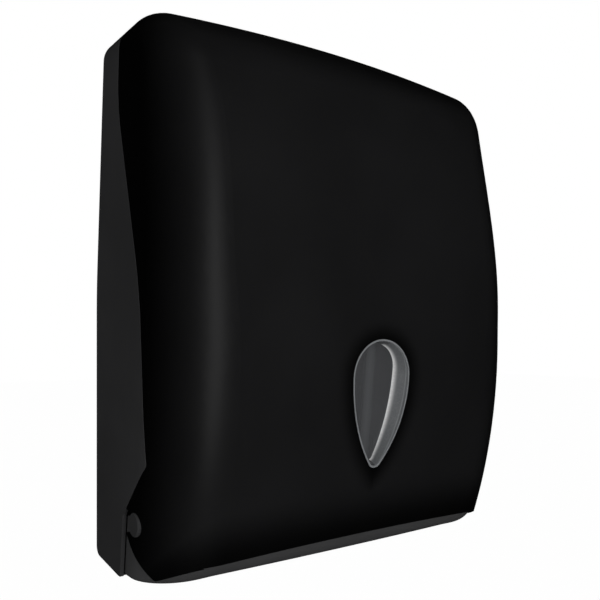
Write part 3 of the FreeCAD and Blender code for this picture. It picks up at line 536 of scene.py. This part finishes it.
@dataclass(frozen=True)
class TintedPlastic:
    """Clear smoke-tinted polycarbonate, polished, with faint wiping marks and highlights painted into
    its dish.
    """

    name: str
    slot: Slot
    colour: Colour
    roughness: float
    clearness: float
    refraction: float = 1.56
    haze: Pattern = Pattern(40.0, 3.0)
    haze_drift: float = 0.12
    haze_rough: float = 0.03
    wiping: Pattern = Pattern(160.0, 2.0, (0.58, 0.72), (0.25, 1.0, 1.0))
    wiping_rough: float = 0.05
    ripples: Pattern = Pattern(55.0, 1.0)
    ripple_depth: float = 0.03 * MM
    edge_radius: float = 0.45 * MM
    edge_share: float = 0.6
    edge_lift: float = 2.6
    # Painted highlights: the colours and spans of the dish's pale wall, its white foot, its pale rim and
    # the floor glint.
    wall_turn: Span = (0.16, 0.36)
    wall_highlight_colour: Colour = (0.14, 0.146, 0.152)
    speckle: Pattern = Pattern(900.0, 2.0, (0.3, 0.7))
    speckle_share: float = 0.25
    foot_depth: Span = (0.5, 1.0)
    foot_power: float = 1.8
    foot_highlight_colour: Colour = WHITE
    rim_depth: Span = (0.12, 0.02)
    rim_highlight_colour: Colour = (0.24, 0.25, 0.26)
    chord_y: float = -120.0 * MM
    chord_z: float = -29.0 * MM
    chord_slope: float = 0.1085
    sink: float = 6.5 * MM
    glint_x: float = -4.0 * MM
    glint_width: float = 6.0 * MM
    glint_share: float = 0.16

    def with_painted_highlights(self, shader: Shader, colour: bpy.types.NodeSocket) -> bpy.types.NodeSocket:
        """Paints the light that gathers at the dish's wall and rim into the colour, as painted
        highlights.

        Args:
            shader: The material's tree.
            colour: The plain colour.

        Returns:
            The colour with painted highlights: a pale wall, brightest at its foot, a pale rim and a soft
                glint on the floor.
        """
        x, y, z = shader.split(shader.place())
        side, _, _ = shader.split(shader.facing())
        depth = (y - self.chord_y + (z - self.chord_z) * self.chord_slope) / self.sink
        foot = depth.step(*self.foot_depth) ** self.foot_power
        speckle = self.speckle.patches(shader)
        # Painted highlight on the wall that faces the key lamp, whitest at its foot.
        pale = shader.mix(foot, self.wall_highlight_colour, self.foot_highlight_colour)
        pale = shader.mix(speckle * self.speckle_share, pale, self.rim_highlight_colour)
        # Painted glint on the dish's floor, then painted highlights on the wall and the rim.
        glint = (abs(x - self.glint_x) / self.glint_width).step(1.0, 0.0)
        colour = shader.mix(glint * self.glint_share, colour, self.rim_highlight_colour)
        colour = shader.mix((0.0 - side).step(*self.wall_turn), colour, pale)
        return shader.mix(depth.step(*self.rim_depth), colour, self.rim_highlight_colour)

    def build(self) -> bpy.types.Material:
        """Builds the material.

        Returns:
            The material.
        """
        shader = Shader(self.name)
        haze = self.haze.noise(shader)
        wiping = self.wiping.patches(shader)
        rounded = shader.soft_edges(self.edge_radius)
        edge = shader.edge_mask(rounded)
        darker = toned(self.colour, 1.0 - self.haze_drift)
        lighter = toned(self.colour, 1.0 + self.haze_drift)
        colour = shader.mix(haze, darker, lighter)
        colour = shader.mix(edge * self.edge_share, colour, toned(self.colour, self.edge_lift))
        return shader.surface({
            "Base Color": self.with_painted_highlights(shader, colour),
            "Roughness": self.roughness + haze * self.haze_rough + wiping * self.wiping_rough,
            "Transmission Weight": self.clearness,
            "IOR": self.refraction,
            "Normal": shader.bump(self.ripples.noise(shader), self.ripple_depth, rounded),
        })


@dataclass(frozen=True)
class PlatedMetal:
    """Plated metal with fine brushing, cloudy patches and rubbed edges."""

    name: str
    slot: Slot
    colour: Colour
    roughness: float
    clouds: Pattern = Pattern(210.0, 4.0, (0.4, 0.65))
    cloud_colour: Colour = (0.42, 0.42, 0.43)
    cloud_share: float = 0.35
    cloud_rough: float = 0.12
    brushing: Pattern = Pattern(1900.0, 2.0)
    brush_rough: float = 0.12
    brush_depth: float = 0.006 * MM
    spots: Pattern = Pattern(700.0, 2.0, (0.64, 0.72))
    spot_share: float = 0.3
    spot_tone: float = 0.55
    spot_dulling: float = 0.15
    edge_radius: float = 0.2 * MM
    edge_share: float = 0.5
    edge_lift: float = 1.25
    edge_polish: float = 0.08

    def build(self) -> bpy.types.Material:
        """Builds the material.

        Returns:
            The material.
        """
        shader = Shader(self.name)
        clouds = self.clouds.noise(shader)
        lines = self.brushing.noise(shader)
        spots = self.spots.patches(shader)
        rounded = shader.soft_edges(self.edge_radius)
        edge = shader.edge_mask(rounded)
        cloud = clouds.step(*self.clouds.span) * self.cloud_share
        colour = shader.mix(cloud, self.colour, self.cloud_colour)
        colour = shader.mix(spots * self.spot_share, colour, toned(self.colour, self.spot_tone))
        colour = shader.mix(edge * self.edge_share, colour, toned(self.colour, self.edge_lift))
        rough = self.roughness + (clouds - NOISE_MEAN) * self.cloud_rough
        rough = rough + (lines - NOISE_MEAN) * self.brush_rough
        return shader.surface({
            "Base Color": colour,
            "Metallic": 1.0 - spots * self.spot_dulling,
            "Roughness": rough - edge * self.edge_polish,
            "Normal": shader.bump(lines, self.brush_depth, rounded),
        })


Finish = MouldedPlastic | TintedPlastic | PlatedMetal

# The black cover's colour also carries painted shade towards its sides, top, lower edge and window.
COVER_BLACK = MouldedPlastic("satin black moulding", Slot.COVER, (0.0072, 0.0072, 0.0076),
                             roughness=0.42, gloss=0.14, shade=PaintedRimShade(0.88), dust=0.003)
CASING_GREY = MouldedPlastic("dark grey moulding", Slot.CASING, (0.026, 0.026, 0.027),
                             roughness=0.58, gloss=0.22)
TRAY_GREY = MouldedPlastic("dark grey tray moulding", Slot.TRAY, (0.040, 0.040, 0.041),
                           roughness=0.56, gloss=0.25)
GUIDE_GREY = MouldedPlastic("plain grey moulding", Slot.GUIDE, (0.16, 0.16, 0.165),
                            roughness=0.5, gloss=0.4)
WINDOW_SMOKE = TintedPlastic("smoke clear plastic", Slot.WINDOW, (0.072, 0.074, 0.078),
                             roughness=0.16, clearness=0.35)
NICKEL = PlatedMetal("satin nickel plating", Slot.LOCK, (0.62, 0.62, 0.63), roughness=0.26)
ZINC = PlatedMetal("bright zinc plating", Slot.STEEL, (0.56, 0.56, 0.57), roughness=0.34,
                   brushing=Pattern(1900.0, 2.0, stretch=(1.0, 1.0, 0.08)),
                   cloud_colour=(0.50, 0.50, 0.46), cloud_share=0.5)
BRASS = PlatedMetal("brass strip", Slot.LOCK, (0.68, 0.50, 0.24), roughness=0.30)


@dataclass
class Kit:
    """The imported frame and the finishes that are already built."""

    frame: dict
    built: dict[str, bpy.types.Material] = field(default_factory=dict)

    def material(self, finish: Finish) -> bpy.types.Material:
        """Gives the finish's material, which is built on its first use.

        Args:
            finish: The finish.

        Returns:
            Its material.
        """
        if finish.name not in self.built:
            self.built[finish.name] = finish.build()
        return self.built[finish.name]

    def dress(self, name: str, finish: Finish) -> None:
        """Gives a solid of the frame its finish.

        Args:
            name: The node's name.
            finish: Its finish.
        """
        node = self.frame["nodes"][name]
        node.data.materials.clear()
        node.data.materials.append(self.material(finish))
        log.info("dressed %s in %s", name, finish.name)

    def box(self, name: str) -> tuple[Vector, Vector]:
        """Measures a node of the frame.

        Args:
            name: The node's name.

        Returns:
            Its lowest and highest corner.
        """
        node = self.frame["nodes"][name]
        points = [node.matrix_world @ vertex.co for vertex in node.data.vertices]
        low = Vector([min(point[axis] for point in points) for axis in range(3)])
        high = Vector([max(point[axis] for point in points) for axis in range(3)])
        return low, high

    def piece(self, name: str, mesh: bmesh.types.BMesh, finish: Finish, body: Body) -> None:
        """Makes a piece from a mesh and lets it ride on a body.

        Args:
            name: The piece's name.
            mesh: Its mesh, which is freed.
            finish: Its finish.
            body: The body that carries it.
        """
        bmesh.ops.recalc_face_normals(mesh, faces=mesh.faces)
        made = linked(mesh, name, self.material(finish))
        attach(made, body.value)
        log.info("made %s on %s, %d faces", name, body.value, len(made.data.polygons))


@dataclass
class Casing:
    """The shell on the wall, with the towel guides and the lock's catch."""

    kit: Kit
    wall: float = 2.5 * MM
    pin_radius: float = 2.6 * MM
    pin_bevel: float = 0.25 * MM
    pin_sides: int = 28
    pin_height: float = 0.35 * MM
    pin_columns: tuple[float, ...] = (-80.0 * MM, -40.0 * MM, 0.0, 40.0 * MM, 80.0 * MM)
    pin_rows: tuple[float, ...] = (-88.0 * MM, -20.0 * MM, 72.0 * MM)

    def ejector_marks(self) -> None:
        """Adds the round marks that the mould's ejector pins leave on the back plate."""
        mesh = bmesh.new()
        turn = Matrix.Rotation(QUARTER_TURN, 3, "X")
        plate = self.kit.box("back_casing")[1].y - self.wall
        for x in self.pin_columns:
            for z in self.pin_rows:
                pad = bmesh.ops.create_cone(mesh, cap_ends=True, segments=self.pin_sides,
                                            radius1=self.pin_radius,
                                            radius2=self.pin_radius - self.pin_bevel,
                                            depth=self.pin_height)
                bmesh.ops.rotate(mesh, verts=pad["verts"], matrix=turn)
                bmesh.ops.translate(mesh, verts=pad["verts"], vec=(x, plate, z))
        self.kit.piece("ejector_marks", mesh, CASING_GREY, Body.CASING)

    def build(self) -> None:
        """Adds the ejector marks and dresses the fixed pieces."""
        self.ejector_marks()
        self.kit.dress("back_casing", CASING_GREY)
        self.kit.dress("paper_guide_left", GUIDE_GREY)
        self.kit.dress("paper_guide_right", GUIDE_GREY)
        for name in ("guide_screws", "lock_catch", "catch_screws"):
            self.kit.dress(name, ZINC)


@dataclass
class Cover:
    """The hinged shell with its window and tray."""

    kit: Kit

    def build(self) -> None:
        """Dresses the cover's pieces."""
        self.kit.dress("front_cover", COVER_BLACK)
        self.kit.dress("sight_window", WINDOW_SMOKE)
        self.kit.dress("bottom_tray", TRAY_GREY)
        self.kit.dress("tray_screws", ZINC)


@dataclass
class CamLock:
    """The lock in the cover's top."""

    kit: Kit
    thread_pitch: float = 1.0 * MM
    thread_root: float = 7.9 * MM
    thread_crest: float = 8.3 * MM
    thread_half_width: float = 0.45 * MM
    thread_steps: int = 40
    thread_runout: float = 1.0 * MM
    wafer_size: Point = (1.5 * MM, 2.3 * MM, 0.6 * MM)
    wafer_depth: float = 1.9 * MM
    wafer_pitch: float = 1.2 * MM
    wafer_offset: float = 2.2 * MM
    wafer_count: int = 4
    wafer_bevel: float = 0.12 * MM

    def middle(self) -> Vector:
        """Middle of the housing's top."""
        low, high = self.kit.box("lock_housing")
        return Vector(((low.x + high.x) / 2.0, (low.y + high.y) / 2.0, high.z))

    def thread_ring(self, step: int, middle: Vector, low: float) -> list[Point]:
        """Finds one cross-section of the thread's ridge.

        Args:
            step: Its number along the thread.
            middle: A point on the housing's axis.
            low: Height where the thread starts.

        Returns:
            The points of the lower root, the crest and the upper root.
        """
        angle = 2.0 * math.pi * step / self.thread_steps
        z = low + self.thread_pitch * step / self.thread_steps
        corners = (
            (self.thread_root, z - self.thread_half_width),
            (self.thread_crest, z),
            (self.thread_root, z + self.thread_half_width),
        )
        return [(middle.x + radius * math.cos(angle), middle.y + radius * math.sin(angle), height)
                for radius, height in corners]

    def thread(self) -> None:
        """Adds the thread's ridge round the housing, below the nut."""
        middle = self.middle()
        low = self.kit.box("lock_housing")[0].z + self.thread_runout
        high = self.kit.box("lock_nut")[0].z
        count = int((high - low) / self.thread_pitch * self.thread_steps)
        mesh = bmesh.new()
        last = None
        for step in range(count + 1):
            ring = [mesh.verts.new(point) for point in self.thread_ring(step, middle, low)]
            if last:
                for side, corner in enumerate(ring):
                    following = (side + 1) % len(ring)
                    mesh.faces.new((last[side], last[following], ring[following], corner))
            else:
                mesh.faces.new(ring)
            last = ring
        mesh.faces.new(last)
        self.kit.piece("housing_thread", mesh, NICKEL, Body.COVER)

    def wafers(self) -> None:
        """Sets the brass wafers in the keyway, by turns at its two ends."""
        middle = self.middle()
        mesh = bmesh.new()
        for step in range(self.wafer_count):
            wafer = bmesh.ops.create_cube(mesh, size=1.0)
            bmesh.ops.scale(mesh, verts=wafer["verts"], vec=self.wafer_size)
            side = 1.0 if step % 2 else -1.0
            depth = self.wafer_depth + step * self.wafer_pitch
            place = (middle.x, middle.y + side * self.wafer_offset, middle.z - depth)
            bmesh.ops.translate(mesh, verts=wafer["verts"], vec=place)
        bmesh.ops.bevel(mesh, geom=list(mesh.edges), offset=self.wafer_bevel, segments=2, profile=0.5,
                        affect="EDGES")
        self.kit.piece("lock_wafers", mesh, BRASS, Body.LOCK)

    def build(self) -> None:
        """Adds the lock's thread and wafers and dresses its pieces."""
        self.thread()
        self.wafers()
        self.kit.dress("lock_housing", NICKEL)
        self.kit.dress("lock_barrel", NICKEL)
        for name in ("lock_washer", "lock_nut", "lock_cam", "cam_washer", "cam_screw"):
            self.kit.dress(name, ZINC)


@dataclass(frozen=True)
class Lamp:
    """One soft lamp that looks at the dispenser: degrees, metres and watts."""

    name: str
    azimuth: float
    elevation: float
    distance: float
    width: float
    height: float
    power: float
    lean: float = 0.0

    def build(self) -> None:
        """Makes the lamp."""
        data = bpy.data.lights.new(self.name, "AREA")
        data.shape = "RECTANGLE"
        data.size = self.width
        data.size_y = self.height
        data.energy = self.power
        made = bpy.data.objects.new(self.name, data)
        bpy.context.scene.collection.objects.link(made)
        around = math.radians(self.azimuth)
        up = math.radians(self.elevation)
        back = Vector((math.sin(around) * math.cos(up), -math.cos(around) * math.cos(up), math.sin(up)))
        made.location = back * self.distance
        made.rotation_mode = "QUATERNION"
        roll = Quaternion((0.0, 0.0, 1.0), -math.radians(self.lean))
        made.rotation_quaternion = (-back).to_track_quat("-Z", "Y") @ roll


@dataclass
class Studio:
    """Camera, lamps, world, floor and flag."""

    camera_place: Point = (-308.9 * MM, -452.0 * MM, -29.5 * MM)
    camera_turn: float = 36.13
    lens: float = 42.0
    sensor: float = 36.0
    rise: float = 0.066
    ambient: float = 0.64
    floor_z: float = -0.75
    floor_size: float = 12.0
    floor_cells: int = 8
    floor_colour: Colour = (0.9, 0.9, 0.9)
    floor_glow: float = 0.98
    flag_radius: float = 3.4
    flag_sides: int = 48
    flag_top: float = 1.6
    flag_gap: float = 0.01
    flag_colour: Colour = (0.004, 0.004, 0.004)
    lamps: tuple[Lamp, ...] = (
        Lamp("key softbox", azimuth=-17.0, elevation=4.0, distance=1.5,
             width=0.28, height=1.7, power=9.2, lean=13.0),
        Lamp("window strip", azimuth=-41.0, elevation=6.0, distance=1.7,
             width=0.16, height=1.2, power=0.2),
        Lamp("top softbox", azimuth=10.0, elevation=80.0, distance=1.8,
             width=1.2, height=1.2, power=3.0),
    )

    def camera(self) -> None:
        """Sets the camera."""
        data = bpy.data.cameras.new("camera")
        data.lens = self.lens
        data.sensor_width = self.sensor
        data.shift_y = self.rise
        made = bpy.data.objects.new("camera", data)
        made.location = self.camera_place
        made.rotation_euler = (QUARTER_TURN, 0.0, math.radians(-self.camera_turn))
        bpy.context.scene.collection.objects.link(made)
        bpy.context.scene.camera = made

    def seen(self, shader: Shader) -> Value:
        """Tells the rays that see the background, directly, in a gloss or through a clear piece.

        Args:
            shader: The tree of the background's shader.

        Returns:
            1 for those rays and 0 for all others.
        """
        paths = shader.node("ShaderNodeLightPath").outputs
        direct = Value(shader, paths["Is Camera Ray"])
        gloss = Value(shader, paths["Is Glossy Ray"])
        through = Value(shader, paths["Is Transmission Ray"])
        return direct.larger(gloss).larger(through)

    def world(self) -> None:
        """Sets an even light that looks white where it is seen."""
        world = bpy.data.worlds.new("studio")
        bpy.context.scene.world = world
        shader = Shader("studio", world)
        even = shader.node("ShaderNodeBackground", None, {"Color": WHITE, "Strength": self.ambient})
        white = shader.node("ShaderNodeBackground", None, {"Color": WHITE, "Strength": 1.0})
        inputs = {0: self.seen(shader), 1: even.outputs[0], 2: white.outputs[0]}
        mixed = shader.node("ShaderNodeMixShader", None, inputs)
        shader.node("ShaderNodeOutputWorld", None, {"Surface": mixed.outputs[0]})

    def floor(self) -> None:
        """Lays a pale floor far below the dispenser that looks white where it is seen."""
        shader = Shader("pale floor")
        shade = shader.node("ShaderNodeBsdfDiffuse", None, {"Color": self.floor_colour})
        glow = shader.node("ShaderNodeEmission", None, {"Color": WHITE, "Strength": 1.0})
        inputs = {0: self.seen(shader) * self.floor_glow, 1: shade.outputs[0], 2: glow.outputs[0]}
        mixed = shader.node("ShaderNodeMixShader", None, inputs)
        shader.node("ShaderNodeOutputMaterial", None, {"Surface": mixed.outputs[0]})
        mesh = bmesh.new()
        bmesh.ops.create_grid(mesh, x_segments=self.floor_cells, y_segments=self.floor_cells,
                              size=self.floor_size)
        made = linked(mesh, "floor", shader.target)
        made.location = (0.0, 0.0, self.floor_z)

    def flag(self) -> None:
        """Stands a round black flag about the dispenser, which only glossy surfaces see."""
        shader = Shader("flag cloth")
        cloth = shader.node("ShaderNodeBsdfDiffuse", None, {"Color": self.flag_colour})
        shader.node("ShaderNodeOutputMaterial", None, {"Surface": cloth.outputs[0]})
        mesh = bmesh.new()
        low = self.floor_z + self.flag_gap
        bmesh.ops.create_cone(mesh, cap_ends=True, segments=self.flag_sides, radius1=self.flag_radius,
                              radius2=self.flag_radius, depth=self.flag_top - low)
        bmesh.ops.translate(mesh, verts=mesh.verts, vec=(0.0, 0.0, (self.flag_top + low) / 2.0))
        made = linked(mesh, "black flag", shader.target)
        made.visible_camera = False
        made.visible_diffuse = False
        made.visible_transmission = False
        made.visible_shadow = False

    def build(self) -> None:
        """Builds the studio."""
        bpy.context.scene.view_settings.view_transform = "Standard"
        self.camera()
        self.world()
        self.floor()
        self.flag()
        for lamp in self.lamps:
            lamp.build()
        log.info("studio with %d lamps", len(self.lamps))


def main() -> None:
    """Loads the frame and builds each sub-assembly."""
    logging.basicConfig(level=logging.INFO, format="%(name)s: %(message)s")
    kit = Kit(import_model())
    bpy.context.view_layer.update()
    Studio().build()
    for assembly in (Casing, Cover, CamLock):
        assembly(kit).build()


if __name__ == "__main__":
    main()
